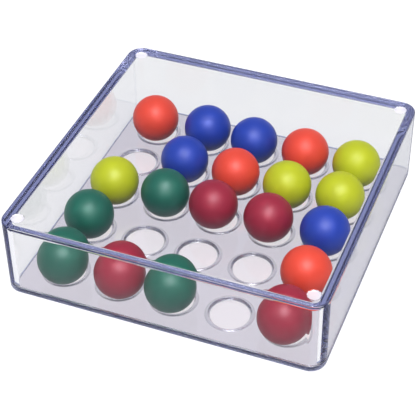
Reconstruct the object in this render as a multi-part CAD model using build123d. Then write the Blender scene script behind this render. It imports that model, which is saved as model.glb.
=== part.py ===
from build123d import *
import math
import os

# Sealed clear puzzle box: a tray with a square grid of round wells, each inside a raised lip,
# painted balls that roll from well to well, and a clear cover that stands on the tray.
# The origin is the middle of the tray's underside, +Z is up, -Y is the front. Millimetres.

# Balls and where they lie
ball_diameter = 14.0
seat_gap = 0.05            # air between a resting ball and the floor of its well
lip_gap = 0.1              # air left beside the lip when a ball lies at the end of its play

# Wells
ball_spacing = 2.0         # free space between neighbouring balls
lip_margin = 0.4           # a lip's outer edge is this much narrower than a ball
lip_width = 1.4            # from the outer edge of a lip to the floor of its well
lip_peak = 0.84            # height of a lip's ridge over that floor, before its rounding
lip_ridge_round = 0.35
well_depth = 0.4           # from the tray's top face to the floor of a well
well_floor_web = 1.0       # plastic left under a well

# Cover
rim_margin = 2.4           # from the edge of the last grid cell to the inside of the wall
wall = 2.6
top_thickness = 2.2
headroom = 6.25            # from the top of a resting ball to the underside of the cover
corner_radius = 4.5
top_edge_round = 0.4
inside_edge_round = 0.4

# Joint between cover and tray
skirt_thickness = 1.4      # the wall is this thin where it passes the edge of the tray
tray_clearance = 0.1       # air between the tray's edge and the skirt
skirt_lift = 0.2           # the skirt ends this far above the table
skirt_edge_round = 0.8
tray_edge_chamfer = 0.3

# Round marks in the corners of the cover's top face
mark_diameter = 3.6
mark_depth = 0.3
mark_inset = 4.3           # from the outer faces to the middle of a mark

# Balls, back row first, left to right: the colour, and how far the ball lies to the right and
# to the front of the middle of its well, as shares of its play there. None is an empty well.
layout = [
    [("orange", 0.0, 0.7), ("blue", 0.27, 0.42), ("blue", -0.03, 0.74),
     ("orange", -0.04, 0.7), ("yellow", -0.13, 0.8)],
    [None, ("blue", -0.02, 0.62), ("orange", -0.02, 0.69),
     ("yellow", -0.08, 0.84), ("yellow", -0.22, 0.61)],
    [("yellow", 0.25, 0.66), ("green", 0.17, 0.64), ("crimson", -0.32, 0.62),
     ("crimson", -0.18, 0.61), ("blue", -0.03, 0.55)],
    [("green", 0.04, 0.64), None, None, None, ("orange", 0.05, 0.97)],
    [("green", 0.27, 0.91), ("crimson", 0.52, 0.82), ("green", 0.03, 0.86),
     None, ("crimson", -0.11, 0.98)],
]

# Sizes that follow from the ones above
grid_count = len(layout)
pitch = ball_diameter + ball_spacing
lip_radius = (ball_diameter - lip_margin) / 2
floor_radius = lip_radius - lip_width
ridge_radius = lip_radius - lip_width / 2
# Radius at which the straight inner side of a lip passes the level of the tray's top face
mouth_radius = floor_radius + (ridge_radius - floor_radius) * well_depth / lip_peak
tray_thickness = well_floor_web + well_depth
inner_size = grid_count * pitch + 2 * rim_margin
box_size = inner_size + 2 * wall
ceiling_z = well_floor_web + seat_gap + ball_diameter + headroom
box_height = ceiling_z + top_thickness
skirt_inner_size = box_size - 2 * skirt_thickness
tray_size = skirt_inner_size - 2 * tray_clearance
ball_centre_z = well_floor_web + seat_gap + ball_diameter / 2
ball_radius = ball_diameter / 2
ridge_z = well_floor_web + lip_peak
# Radius of the circle in which the level of the lips' ridges cuts a resting ball
radius_at_ridge = math.sqrt(ball_radius**2 - (ball_centre_z - ridge_z) ** 2)
play = ridge_radius - radius_at_ridge - lip_gap


def rounded_block(size, radius, bottom_z, top_z):
    """Upright square block with rounded vertical corners, centred on the Z axis."""
    outline = RectangleRounded(size, size, radius)
    return Pos(0, 0, bottom_z) * extrude(outline, top_z - bottom_z)


def edges_at(shape, z):
    """All edges of a shape that lie in the level plane at height z."""
    return shape.edges().filter_by_position(Axis.Z, z - 0.001, z + 0.001)


def well_centre(row, column):
    """Middle of a well in plan. Row 0 is the back row and column 0 the left one."""
    middle = (grid_count - 1) / 2
    return (column - middle) * pitch, (middle - row) * pitch


def make_lip():
    """The part of a lip above the tray's top face: a triangular ring with a rounded ridge."""
    side = Polyline(
        (mouth_radius, tray_thickness), (ridge_radius, ridge_z), (lip_radius, tray_thickness), close=True
    )
    section = make_face(side)
    section = fillet(section.vertices().sort_by(Axis.Y)[-1], lip_ridge_round)
    return revolve(Plane.XZ * section, Axis.Z)


def make_tray():
    """Plate that fits inside the skirt, with a sloping-sided round well and a lip for each ball."""
    corner = corner_radius - skirt_thickness - tray_clearance
    plate = rounded_block(tray_size, corner, 0, tray_thickness)
    plate = chamfer(edges_at(plate, 0), tray_edge_chamfer)
    well = Cone(floor_radius, mouth_radius, well_depth)
    lip = make_lip()
    for row in range(grid_count):
        for column in range(grid_count):
            x, y = well_centre(row, column)
            plate -= Pos(x, y, well_floor_web + well_depth / 2) * well
            plate += Pos(x, y, 0) * lip
    return plate


def make_cover():
    """Clear hood: top plate and four walls in one moulding, with a thinner skirt below."""
    hood = rounded_block(box_size, corner_radius, skirt_lift, box_height)
    hood = fillet(edges_at(hood, box_height), top_edge_round)
    hood = fillet(edges_at(hood, skirt_lift), skirt_edge_round)
    cavity = rounded_block(inner_size, corner_radius - wall, 0, ceiling_z)
    cavity = fillet(edges_at(cavity, ceiling_z), inside_edge_round)
    hood -= cavity
    hood -= rounded_block(skirt_inner_size, corner_radius - skirt_thickness, 0, tray_thickness)
    mark = Cylinder(mark_diameter / 2, 2 * mark_depth)
    mark_place = box_size / 2 - mark_inset
    for x in (-mark_place, mark_place):
        for y in (-mark_place, mark_place):
            hood -= Pos(x, y, box_height) * mark
    return hood


def make_balls():
    """One sphere for each filled well, named by its colour and its number in that colour."""
    balls = {}
    count = {}
    for row, line in enumerate(layout):
        for column, entry in enumerate(line):
            if entry is None:
                continue
            colour, right, front = entry
            count[colour] = count.get(colour, 0) + 1
            x, y = well_centre(row, column)
            ball = Pos(x + right * play, y - front * play, ball_centre_z) * Sphere(ball_radius)
            balls[f"{colour}_ball_{count[colour]}"] = ball
    return balls


parts = {"well_tray": make_tray(), "clear_cover": make_cover(), **make_balls()}
os.makedirs("parts", exist_ok=True)
for name, shape in parts.items():
    shape.label = name
    export_step(shape, f"parts/{name}.step")
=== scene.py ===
import math

import bpy
import numpy as np
from mathutils import Matrix, Vector


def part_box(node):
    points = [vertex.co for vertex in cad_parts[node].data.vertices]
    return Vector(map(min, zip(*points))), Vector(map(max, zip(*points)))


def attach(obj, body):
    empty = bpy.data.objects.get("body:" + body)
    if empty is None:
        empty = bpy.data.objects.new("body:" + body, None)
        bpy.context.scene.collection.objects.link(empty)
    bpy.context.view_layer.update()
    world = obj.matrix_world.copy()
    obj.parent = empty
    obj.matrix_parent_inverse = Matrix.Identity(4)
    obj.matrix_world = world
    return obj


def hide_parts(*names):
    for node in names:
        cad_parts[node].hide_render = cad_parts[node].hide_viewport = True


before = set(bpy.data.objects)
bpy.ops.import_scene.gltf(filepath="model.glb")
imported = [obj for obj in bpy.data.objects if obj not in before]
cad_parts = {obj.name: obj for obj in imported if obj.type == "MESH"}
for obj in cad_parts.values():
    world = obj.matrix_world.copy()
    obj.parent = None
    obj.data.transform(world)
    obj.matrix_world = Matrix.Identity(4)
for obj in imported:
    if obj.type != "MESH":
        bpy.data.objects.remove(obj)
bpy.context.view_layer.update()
mm = 0.001
weldStep = 1e-4  # millimetres; points closer than this become one
sharpAngle = 40  # degrees; flatter edges are shaded smooth
heightSlack = 0.01  # millimetres; a face this near a level counts as lying on it


# Shared helpers

# One sRGB hex colour as linear red, green, blue and alpha, by the sRGB curve
def linearColour(hexColour):
    srgb = np.array([int(hexColour[i:i + 2], 16) for i in (0, 2, 4)]) / 255
    linear = np.where(srgb <= 0.04045, srgb / 12.92, ((srgb + 0.055) / 1.055) ** 2.4)
    return (*linear.tolist(), 1.0)


# One node: its own settings by name, and for each input a plain value or a link
def addNode(tree, kind, inputs=None, **settings):
    node = tree.nodes.new("ShaderNode" + kind)
    for name, value in settings.items():
        setattr(node, name, value)
    for key, value in (inputs or {}).items():
        if isinstance(value, bpy.types.NodeSocket):
            tree.links.new(value, node.inputs[key])
        else:
            node.inputs[key].default_value = value
    return node


def newMaterial(name):
    material = bpy.data.materials.new(name)
    material.use_nodes = True
    material.node_tree.nodes.clear()
    return material


# Vertices that share a place become one
def weld(points, faces):
    keys = np.round(points / weldStep).astype(np.int64)
    _, first, inverse = np.unique(keys, axis=0, return_index=True, return_inverse=True)
    return points[first], [inverse.reshape(-1)[part] for part in faces]


# A finished mesh from points in millimetres, with its materials in the order of their slots
def makePiece(name, points, faces, *materials):
    mesh = bpy.data.meshes.new(name)
    mesh.from_pydata((points * mm).tolist(), [], [face for part in faces for face in part.tolist()])
    mesh.shade_smooth()
    mesh.set_sharp_from_angle(angle=math.radians(sharpAngle))
    for material in materials:
        mesh.materials.append(material)
    piece = bpy.data.objects.new(name, mesh)
    bpy.context.scene.collection.objects.link(piece)
    return piece


# The middles of all faces of a piece, in millimetres
def faceCentres(piece):
    centres = np.zeros(3 * len(piece.data.polygons))
    piece.data.polygons.foreach_get("center", centres)
    return centres.reshape(-1, 3) / mm


# Each inner corner of an open polyline becomes an arc that is tangent to both its sides: it
# starts and ends radius times tan(half the turn) away from the corner. A point close to each
# end of the arc keeps the shading of the flat stretches flat.
def roundedProfile(corners, radii, steps, guard=0.06):
    corners = np.array(corners, float)
    line = [corners[0]]
    for before, corner, after, radius in zip(corners, corners[1:], corners[2:], radii):
        inward = (before - corner) / np.linalg.norm(before - corner)
        outward = (after - corner) / np.linalg.norm(after - corner)
        halfTurn = (math.pi - math.acos(np.clip(inward @ outward, -1, 1))) / 2
        reach = radius * math.tan(halfTurn)
        start = corner + inward * reach
        bisector = (inward + outward) / np.linalg.norm(inward + outward)
        middle = corner + bisector * radius / math.cos(halfTurn)
        angles = np.linspace(0, 2 * halfTurn, steps + 1)[:, None]
        line += [start + inward * guard]
        line += list(middle + (start - middle) * np.cos(angles) - inward * radius * np.sin(angles))
        line += [corner + outward * (reach + guard)]
    return np.array(line + [corners[-1]])


# Quads between closed rings that run anticlockwise seen from above. They point outwards where
# the rings go from the middle of a top face out and down.
def ringFaces(ringCount, columnCount, start=0):
    ring = np.arange(ringCount - 1)[:, None] * columnCount + start
    column = np.arange(columnCount)[None, :]
    following = (column + 1) % columnCount
    quads = np.stack([ring + column, ring + columnCount + column,
                      ring + columnCount + following, ring + following], axis=-1)
    return quads.reshape(-1, 4)


# Triangles that close the first ring of such a set towards a point, or the last one
def poleFaces(pole, ringStart, columnCount, last=False):
    column = np.arange(columnCount)
    edge = [ringStart + column, ringStart + (column + 1) % columnCount]
    if last:
        edge.reverse()
    return np.stack([np.full(columnCount, pole), *edge], axis=-1)


# The four quarter turns about the vertical axis, for points held as rows
quarterTurns = [np.array([[c, s], [-s, c]]) for c, s in ((1, 0), (0, 1), (-1, 0), (0, -1))]


# A path round a rounded square: each point is (half size - radius) times a point of the unit
# square plus radius times the outward direction. The arrays hold those two factors.
def squarePath(sidePositions, arcSteps):
    side = np.stack([np.ones_like(sidePositions), sidePositions], axis=-1)
    sideOut = np.tile([1.0, 0.0], (len(sidePositions), 1))
    angles = np.linspace(0, math.pi / 2, arcSteps + 1)[1:-1]
    corner = np.ones((len(angles), 2))
    cornerOut = np.stack([np.cos(angles), np.sin(angles)], axis=-1)
    quarter, quarterOut = np.vstack([side, corner]), np.vstack([sideOut, cornerOut])
    square = np.vstack([quarter @ turn for turn in quarterTurns])
    outward = np.vstack([quarterOut @ turn for turn in quarterTurns])
    return square, outward


def ringAt(path, halfSize, radius, z):
    square, outward = path
    flat = (halfSize - radius) * square + radius * outward
    return np.column_stack([flat, np.full(len(flat), z)])


plasticIndex = 1.59  # polystyrene


# Crystal-clear polystyrene, injection moulded and glossy: a high index gives bright edges and
# strong refraction, and its faint blue-violet tint shows only along the long way through an
# edge. Where the mould was left matt it is rougher, which reads as white on the round marks.
# The grey of the well lips, the darker lavender of the tray's top and the blue-violet of the
# cover's lower edge are painted shade in their tint. Lamps and diffuse light pass straight
# through it, with the tint of two faces. The tint called mirror tones down the reflection where
# the plastic is seen steeply.
def moulded(name, values):
    material = newMaterial(name)
    tree = material.node_tree
    shader = addNode(tree, "BsdfPrincipled", {
        "Base Color": linearColour(values["tint"]),
        "Roughness": values["roughness"],
        "IOR": plasticIndex,
        "Transmission Weight": values["clear"],
        "Specular Tint": linearColour(values.get("mirror", "ffffff")),
    })
    passing = addNode(tree, "BsdfTransparent", {"Color": linearColour(values["lampTint"])})
    path = addNode(tree, "LightPath")
    lamps = addNode(tree, "MixShader", {
        0: path.outputs["Is Shadow Ray"], 1: shader.outputs[0], 2: passing.outputs[0]})
    soft = addNode(tree, "MixShader", {
        0: path.outputs["Is Diffuse Ray"], 1: lamps.outputs[0], 2: passing.outputs[0]})
    output = addNode(tree, "OutputMaterial", {"Surface": soft.outputs[0]})
    if "absorbed" in values:  # share lost per millimetre in red, green and blue
        lost = np.array(values["absorbed"]) / mm
        most = lost.max()
        inside = addNode(tree, "VolumeAbsorption", {
            "Color": (*(1 - lost / most).tolist(), 1.0),
            "Density": float(most),
        })
        tree.links.new(inside.outputs[0], output.inputs["Volume"])
    return material


# Clear cover

coverPlastic = dict(tint="fafaf8", absorbed=(0.022, 0.021, 0.012), roughness=0.012, clear=1.0,
                    mirror="787878", lampTint="f6f6fa")
markFinish = dict(tint="f6f2f8", roughness=0.4, clear=0.4, lampTint="e8e6ee")
# Painted shade: the dark blue-violet tint of the cover's lower edge, skirt and ledge stands in for the
# shadow on the paper under the wall, which light guided down the wall meets
edgePaintedShade = dict(tint="747cb2", roughness=0.3, clear=1.0, lampTint="9ca0c0")
cover = dict(topEdgeRound=0.4, skirtEdgeRound=0.8, insideEdgeRound=0.4, smallEdge=0.15,
             cornerRadius=4.5, leastRadius=0.1, wall=2.6, skirt=1.4, top=2.2, contactGap=0.02,
             markDiameter=3.6, markDepth=0.3, markInset=4.3, markEdge=0.3,
             cornerZone=5.8, fineStep=0.18, coarsePoints=13, coarseMargin=1,
             cornerSteps=28, roundSteps=8, zoneRings=32,
             sparseShares=(0.3, 0.6), ceilingShares=(0.9, 0.6, 0.3))


# The mould's four round marks: each sinks the top face by its depth, with a soft step in the
# distance from the mark's middle
def markSink(points, half):
    middle = half - cover["markInset"]
    radius = cover["markDiameter"] / 2
    distance = np.hypot(np.abs(points[:, 0]) - middle, np.abs(points[:, 1]) - middle)
    step = np.clip((radius - distance) / cover["markEdge"], 0, 1)
    return cover["markDepth"] * step * step * (3 - 2 * step)


# The cover's profile from the top face out, down the wall, round the skirt, up the inside and
# in along the ceiling, as pairs of inset and height
def coverProfile(bottom, shoulder, ceiling, height):
    corners = [(cover["cornerRadius"], height), (0, height), (0, bottom), (cover["skirt"], bottom),
               (cover["skirt"], shoulder), (cover["wall"], shoulder), (cover["wall"], ceiling),
               (cover["cornerRadius"], ceiling)]
    radii = [cover["topEdgeRound"], cover["skirtEdgeRound"], cover["smallEdge"],
             cover["smallEdge"], cover["smallEdge"], cover["insideEdgeRound"]]
    return roundedProfile(corners, radii, cover["roundSteps"])[1:-1]


# That profile carried round rounded squares. A point at inset d lies on the square of half size
# h - d with corner radius r - d, and the two flat faces are scaled copies of their outermost
# ring. The points lie closer near the corners, where the marks are.
def makeCover():
    low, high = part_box("clear_cover")
    half = (high.x - low.x) / 2 / mm
    bottom, height = low.z / mm, high.z / mm
    shoulder = tray["floorWeb"] + tray["wellDepth"] + cover["contactGap"]
    ceiling = height - cover["top"]
    radius = cover["cornerRadius"]
    straight = half - radius
    fine = np.arange(0, cover["cornerZone"] - radius, cover["fineStep"])
    coarse = np.linspace(-1, 1, cover["coarsePoints"] + 2)[1:-1]
    coarse *= straight - fine[-1] - cover["coarseMargin"]
    sidePositions = np.concatenate([fine - straight, coarse, straight - fine[::-1]]) / straight
    path = squarePath(sidePositions, cover["cornerSteps"])
    rings = [ringAt(path, half - inset, max(radius - inset, cover["leastRadius"]), z)
             for inset, z in coverProfile(bottom, shoulder, ceiling, height)]
    zoneShare = 1 - cover["cornerZone"] / half
    topShares = [*cover["sparseShares"], *np.linspace(zoneShare, 1, cover["zoneRings"] + 1)[:-1]]
    topRings = [rings[0] * (share, share, 1) for share in topShares]
    ceilingRings = [rings[-1] * (share, share, 1) for share in cover["ceilingShares"]]
    allRings = topRings + rings + ceilingRings
    columns = len(path[0])
    points = np.vstack(allRings + [[[0, 0, height]], [[0, 0, ceiling]]])
    onTop = np.isclose(points[:, 2], height, rtol=0, atol=1e-6)
    points[:, 2] -= np.where(onTop, markSink(points, half), 0)
    lastRing = (len(allRings) - 1) * columns
    faces = [ringFaces(len(allRings), columns),
             poleFaces(len(points) - 2, 0, columns),
             poleFaces(len(points) - 1, lastRing, columns, last=True)]
    piece = makePiece("cover_clear_moulded", points, faces,
                      moulded("clear polystyrene, moulded cover", coverPlastic),
                      moulded("matt polystyrene, round marks", markFinish),
                      moulded("polystyrene with painted shade, lower edge of the cover", edgePaintedShade))
    centres = faceCentres(piece)
    nearTop = centres[:, 2] > height - cover["markDepth"] - heightSlack
    onMark = nearTop & (markSink(centres, half) > 0)
    onShadedEdge = centres[:, 2] < shoulder + heightSlack
    piece.data.polygons.foreach_set("material_index", (onMark + 2 * onShadedEdge).astype(np.int32))
    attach(piece, "cover")
    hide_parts("clear_cover")
    print("cover:", len(points), "points")


# Well tray

trayPlastic = dict(tint="fbf6f8", absorbed=(0.030, 0.032, 0.018), roughness=0.02, clear=1.0,
                   lampTint="f2eef6")
# Painted shade: the top face of the tray is tinted darker and more lavender than the clear floors of
# the wells, standing in for the shade between the balls and under the tray
trayTopPaintedShade = dict(tint="d0ccde", roughness=0.05, clear=1.0, lampTint="e2deee")
# The lips are rougher than the rest, and their grey tint is painted shade, standing in for the dark
# ring that each lip casts as a lens onto the paper below
lipMattWithShade = dict(tint="b8b6c6", roughness=0.22, clear=0.85, lampTint="d0cedc")
tray = dict(wells=5, pitch=16.0, lipRadius=6.8, ridgeRadius=6.1, floorRadius=5.4, floorWeb=1.0,
            wellDepth=0.4, lipPeak=0.84, floorRound=0.8, ridgeRound=0.35, footRound=0.8,
            cornerRadius=3.0, leastRadius=0.2, edgeRound=0.15, bottomEdge=0.3, rimWidth=2.0,
            floorRing=2.7, outerRing=7.4, pointsRound=64, roundSteps=6,
            cornerPoints=4, rimSteps=4, underShares=(0.7, 0.4))


# One square cell of the tray as a polar grid: flat floor, sloping side up to the rounded ridge
# of the lip, down to the top face, then out to the square
def wellCell(web, top):
    count = tray["pointsRound"]
    corners = [(tray["floorRing"], web), (tray["floorRadius"], web),
               (tray["ridgeRadius"], web + tray["lipPeak"]), (tray["lipRadius"], top),
               (tray["outerRing"], top)]
    radii = [tray["floorRound"], tray["ridgeRound"], tray["footRound"]]
    profile = roundedProfile(corners, radii, tray["roundSteps"])
    angles = np.arange(count) * 2 * math.pi / count - math.pi / 4
    circle = np.stack([np.cos(angles), np.sin(angles)], axis=-1)
    square = circle / np.abs(circle).max(axis=1, keepdims=True) * tray["pitch"] / 2
    rings = [np.column_stack([circle * radius, np.full(count, z)]) for radius, z in profile[:-1]]
    rings += [np.column_stack([square, np.full(count, top)])]
    points = np.vstack(rings + [[[0, 0, web]]])
    return points, [ringFaces(len(rings), count), poleFaces(len(points) - 1, 0, count)]


# The outline of all cells together, anticlockwise, with the cells' own points on it. Each side
# runs along x = reach and is turned by quarter turns, and the points nearest its end are left
# to the corner.
def cellOutline(line):
    pitch, near = tray["pitch"], tray["cornerPoints"]
    reach = pitch * tray["wells"] / 2
    inCell = np.tan(np.linspace(-math.pi / 4, math.pi / 4, tray["pointsRound"] // 4 + 1))[:-1]
    side = np.append((line[:, None] + inCell * pitch / 2).ravel(), reach)
    straight = side[near:-near]
    upright = np.append(straight, side[-near:])
    quarter = np.vstack([np.stack([np.full(len(upright), reach), upright], axis=-1),
                         np.stack([side[-near:-1][::-1], np.full(near - 1, reach)], axis=-1)])
    return np.vstack([quarter @ turn for turn in quarterTurns]), straight / straight[-1]


# Twenty-five cells side by side, and round them a rim of rounded squares that is carried down
# to the flat underside
def makeTray():
    low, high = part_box("well_tray")
    half = (high.x - low.x) / 2 / mm
    web, count = tray["floorWeb"], tray["wells"]
    top = web + tray["wellDepth"]
    cellPoints, cellFaces = wellCell(web, top)
    line = (np.arange(count) - (count - 1) / 2) * tray["pitch"]
    middles = np.stack([*np.meshgrid(line, line), np.zeros((count, count))], axis=-1)
    wellPoints = (cellPoints + middles.reshape(-1, 1, 3)).reshape(-1, 3)
    shift = np.arange(count * count)[:, None, None] * len(cellPoints)
    wellFaces = [(part[None] + shift).reshape(-1, part.shape[1]) for part in cellFaces]

    outline, sidePositions = cellOutline(line)
    path = squarePath(sidePositions, 2 * tray["cornerPoints"])
    edge, width = tray["bottomEdge"], tray["rimWidth"]
    profile = roundedProfile([(width, top), (0, top), (0, edge), (edge, 0), (width, 0)],
                             [tray["edgeRound"]] * 3, tray["rimSteps"])
    outer = [ringAt(path, half - inset, max(tray["cornerRadius"] - inset, tray["leastRadius"]), z)
             for inset, z in profile]
    under = [outer[-1] * (share, share, 1) for share in tray["underShares"]]
    rings = [np.column_stack([outline, np.full(len(outline), top)]), *outer[1:], *under]
    columns = len(outline)
    start = len(wellPoints)
    points = np.vstack([wellPoints, *rings, [[0, 0, 0]]])
    lastRing = start + (len(rings) - 1) * columns
    faces = [*wellFaces, ringFaces(len(rings), columns, start),
             poleFaces(len(points) - 1, lastRing, columns, last=True)]
    points, faces = weld(points, faces)
    piece = makePiece("tray_clear_moulded", points, faces,
                      moulded("clear polystyrene, moulded tray", trayPlastic),
                      moulded("polystyrene with painted shade, top of the tray", trayTopPaintedShade),
                      moulded("matt polystyrene with painted shade, lips of the wells", lipMattWithShade))
    centres = faceCentres(piece)
    steps = np.abs(centres[:, None, :2] - line[None, :, None]).min(axis=1)
    fromMiddle = np.hypot(steps[:, 0], steps[:, 1])
    inLip = (fromMiddle > tray["floorRadius"]) & (fromMiddle < tray["lipRadius"])
    onShadedLip = inLip & (centres[:, 2] > web - heightSlack)
    onShadedTop = (centres[:, 2] > top - heightSlack) & ~onShadedLip
    piece.data.polygons.foreach_set("material_index", (onShadedTop + 2 * onShadedLip).astype(np.int32))
    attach(piece, "tray")
    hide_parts("well_tray")
    print("tray:", len(points), "points")


# Balls

paints = dict(orange="ff4a2c", blue="143caa", yellow="ccd400", green="00604a", crimson="a01230")
coat = dict(index=1.475, smoothest=0.42, roughest=0.52, deep=0.9, pale=1.1, cloudSize=5,
            grainSize=0.5, grainHeight=0.05, grainStrength=0.15)
ball = dict(rows=48, columns=96, unevenness=0.015, seed=7, waves=3, waveRate=2, phaseRange=6)


# Satin paint on a turned wooden ball, dipped and dried: an even colour a little deeper where the
# coat is thick, a broad soft highlight, and a fine unevenness left by the wood
def satinPaint(name, hexColour):
    material = newMaterial(name)
    tree = material.node_tree
    place = addNode(tree, "TexCoord").outputs["Object"]
    cloud = addNode(tree, "TexNoise", {
        "Vector": place, "Scale": 1 / (coat["cloudSize"] * mm), "Detail": 3.0})
    grain = addNode(tree, "TexNoise", {
        "Vector": place, "Scale": 1 / (coat["grainSize"] * mm), "Detail": 2.0})
    colour = np.array(linearColour(hexColour))[:3]
    shade = addNode(tree, "Mix", {
        0: cloud.outputs[0],
        6: (*(colour * coat["deep"]).tolist(), 1.0),
        7: (*np.minimum(colour * coat["pale"], 1).tolist(), 1.0),
    }, data_type="RGBA")
    gloss = addNode(tree, "MapRange", {
        "Value": cloud.outputs[0], "To Min": coat["smoothest"], "To Max": coat["roughest"]})
    bump = addNode(tree, "Bump", {
        "Height": grain.outputs[0],
        "Strength": coat["grainStrength"],
        "Distance": coat["grainHeight"] * mm,
    })
    shader = addNode(tree, "BsdfPrincipled", {
        "Base Color": shade.outputs[2],
        "Roughness": gloss.outputs[0],
        "IOR": coat["index"],
        "Normal": bump.outputs[0],
    })
    addNode(tree, "OutputMaterial", {"Surface": shader.outputs[0]})
    return material


# A sphere on a grid of latitude and longitude. Its radius falls short of the full one by the
# mean of a few slow sine waves that cross it, as on a turned and dipped ball, and its axis is
# turned at random so that no two balls lie alike.
def makeBalls():
    random = np.random.default_rng(ball["seed"])
    finishes = {colour: satinPaint(colour + " satin paint on turned wood", code)
                for colour, code in paints.items()}
    latitude = np.linspace(0, math.pi, ball["rows"] + 1)[1:-1, None]
    longitude = np.linspace(0, 2 * math.pi, ball["columns"], endpoint=False)[None]
    unit = np.stack([np.sin(latitude) * np.cos(longitude), np.sin(latitude) * np.sin(longitude),
                     np.cos(latitude) + 0 * longitude], axis=-1).reshape(-1, 3)
    unit = np.vstack([unit, [[0, 0, 1], [0, 0, -1]]])
    rings, columns = ball["rows"] - 1, ball["columns"]
    faces = [ringFaces(rings, columns),
             poleFaces(len(unit) - 2, 0, columns),
             poleFaces(len(unit) - 1, (rings - 1) * columns, columns, last=True)]
    names = sorted(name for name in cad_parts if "_ball_" in name)
    for name in names:
        low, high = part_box(name)
        middle = np.array((low + high) / 2) / mm
        radius = (high.x - low.x) / 2 / mm
        across = random.normal(size=(3, ball["waves"])) * ball["waveRate"]
        phase = random.uniform(0, ball["phaseRange"], ball["waves"])
        wave = np.sin(unit @ across + phase).mean(axis=1)
        lengths = radius - ball["unevenness"] * (1 + wave)
        turn, _ = np.linalg.qr(random.normal(size=(3, 3)))
        turn *= np.sign(np.linalg.det(turn))
        points = middle + (unit * lengths[:, None]) @ turn.T
        colour = name.split("_")[0]
        piece = makePiece(name + "_painted", points, faces, finishes[colour])
        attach(piece, name)
        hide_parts(name)
    print("balls:", len(names))


# Surroundings, lights and camera

paper = dict(colour="dcdce0", shown=0.84, white=1.18, mirrored=0.6, reach=3.0, gap=0.1)
room = dict(top="ffffff", horizon="8890a8", strength=0.75, greyBelow=0.6, whiteAbove=0.95,
            backdropBelow=0.2, backdropEnd=0.45)
keyLight = dict(power=6.5, size=0.3, distance=0.8, azimuth=24, elevation=68)
photoCamera = dict(azimuth=21.73, elevation=40.52, distance=361.4, target=(-0.16, -6.10, 10.8),
                   roll=-0.77, lens=111.35)
bounces = dict(all=64, transparent=32)


# White paper under soft light: matt, and shown near white to the camera and through the plastic,
# but dimmer in a mirror, so that its image in the plastic doesn't wash out the balls behind
def whitePaper(name):
    material = newMaterial(name)
    tree = material.node_tree
    matt = addNode(tree, "BsdfDiffuse", {"Color": linearColour(paper["colour"])})
    white = addNode(tree, "Emission", {"Color": (1, 1, 1, 1), "Strength": paper["white"]})
    dark = addNode(tree, "BsdfDiffuse", {"Color": (0, 0, 0, 1)})
    path = addNode(tree, "LightPath")
    camera, through = path.outputs["Is Camera Ray"], path.outputs["Is Transmission Ray"]
    seen = addNode(tree, "Math", {0: camera, 1: through}, operation="MAXIMUM")
    share = addNode(tree, "Math", {0: seen.outputs[0], 1: paper["shown"]}, operation="MULTIPLY")
    mixed = addNode(tree, "MixShader", {0: share.outputs[0], 1: matt.outputs[0], 2: white.outputs[0]})
    mirror = addNode(tree, "Math", {0: path.outputs["Is Glossy Ray"], 1: through},
                     operation="SUBTRACT", use_clamp=True)
    hidden = addNode(tree, "Math", {0: mirror.outputs[0], 1: 1 - paper["mirrored"]},
                     operation="MULTIPLY")
    dimmed = addNode(tree, "MixShader", {0: hidden.outputs[0], 1: mixed.outputs[0], 2: dark.outputs[0]})
    addNode(tree, "OutputMaterial", {"Surface": dimmed.outputs[0]})
    return material


def makeFloor():
    mesh = bpy.data.meshes.new("paper")
    corners = ((-1, -1), (1, -1), (1, 1), (-1, 1))
    points = [(x * paper["reach"], y * paper["reach"], -paper["gap"] * mm) for x, y in corners]
    mesh.from_pydata(points, [], [(0, 1, 2, 3)])
    mesh.materials.append(whitePaper("white paper"))
    floor = bpy.data.objects.new("paper", mesh)
    bpy.context.scene.collection.objects.link(floor)


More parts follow.
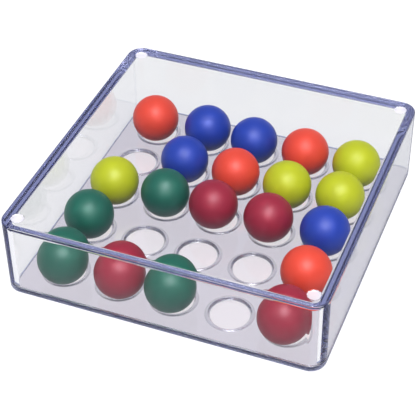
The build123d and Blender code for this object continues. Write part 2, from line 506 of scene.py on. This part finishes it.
# A pale room: brightest overhead and greyer towards the horizon. The camera sees a white
# backdrop in its place, also through the clear plastic where the line of sight is nearly level.
def makeRoom():
    world = bpy.data.worlds.new("soft room")
    bpy.context.scene.world = world
    world.use_nodes = True
    tree = world.node_tree
    tree.nodes.clear()
    direction = addNode(tree, "TexCoord").outputs["Generated"]
    height = addNode(tree, "SeparateXYZ", {0: direction}).outputs[2]
    share = addNode(tree, "MapRange", {
        "Value": height, "From Min": room["greyBelow"], "From Max": room["whiteAbove"]})
    sky = addNode(tree, "Mix", {
        0: share.outputs[0], 6: linearColour(room["horizon"]), 7: linearColour(room["top"]),
    }, data_type="RGBA")
    light = addNode(tree, "Background", {"Color": sky.outputs[2], "Strength": room["strength"]})
    white = addNode(tree, "Background", {"Color": (1, 1, 1, 1), "Strength": 1.0})
    path = addNode(tree, "LightPath")
    level = addNode(tree, "MapRange", {
        "Value": height, "From Min": room["backdropBelow"], "From Max": room["backdropEnd"],
        "To Min": 1.0, "To Max": 0.0,
    })
    through = addNode(tree, "Math", {0: path.outputs["Is Transmission Ray"], 1: level.outputs[0]},
                      operation="MULTIPLY")
    seen = addNode(tree, "Math", {0: path.outputs["Is Camera Ray"], 1: through.outputs[0]},
                   operation="MAXIMUM")
    mixed = addNode(tree, "MixShader", {0: seen.outputs[0], 1: light.outputs[0], 2: white.outputs[0]})
    addNode(tree, "OutputWorld", {"Surface": mixed.outputs[0]})


# The direction from the object towards an azimuth and elevation, azimuth 0 being the front
def towards(azimuth, elevation):
    a, e = math.radians(azimuth), math.radians(elevation)
    return Vector((math.sin(a) * math.cos(e), -math.cos(a) * math.cos(e), math.sin(e)))


def makeKeyLight():
    lamp = bpy.data.lights.new("key light", "AREA")
    lamp.shape = "DISK"
    lamp.size = keyLight["size"]
    lamp.energy = keyLight["power"]
    key = bpy.data.objects.new("key light", lamp)
    away = towards(keyLight["azimuth"], keyLight["elevation"])
    key.location = away * keyLight["distance"]
    key.rotation_euler = away.to_track_quat("Z", "Y").to_euler()
    bpy.context.scene.collection.objects.link(key)


def makeCamera():
    data = bpy.data.cameras.new("photo camera")
    data.lens = photoCamera["lens"]
    camera = bpy.data.objects.new("photo camera", data)
    back = towards(photoCamera["azimuth"], photoCamera["elevation"])
    right = (-back).cross(Vector((0, 0, 1))).normalized()
    up = right.cross(-back)
    roll = math.radians(photoCamera["roll"])
    sideways = math.cos(roll) * right + math.sin(roll) * up
    upright = -math.sin(roll) * right + math.cos(roll) * up
    place = Vector(photoCamera["target"]) * mm + back * photoCamera["distance"] * mm
    turn = Matrix((sideways, upright, back)).transposed().to_4x4()
    camera.matrix_world = Matrix.Translation(place) @ turn
    bpy.context.scene.collection.objects.link(camera)
    bpy.context.scene.camera = camera


# Light crosses many faces of clear plastic, so its paths are long
def setRendering():
    scene = bpy.context.scene
    scene.view_settings.view_transform = "Standard"
    scene.cycles.max_bounces = bounces["all"]
    scene.cycles.transmission_bounces = bounces["all"]
    scene.cycles.glossy_bounces = bounces["all"]
    scene.cycles.transparent_max_bounces = bounces["transparent"]
    scene.cycles.caustics_reflective = False
    scene.cycles.caustics_refractive = False
    scene.cycles.use_denoising = True


makeCamera()
setRendering()
makeFloor()
makeRoom()
makeKeyLight()
print("surroundings: paper, room, key light and camera")
makeCover()
makeTray()
makeBalls()
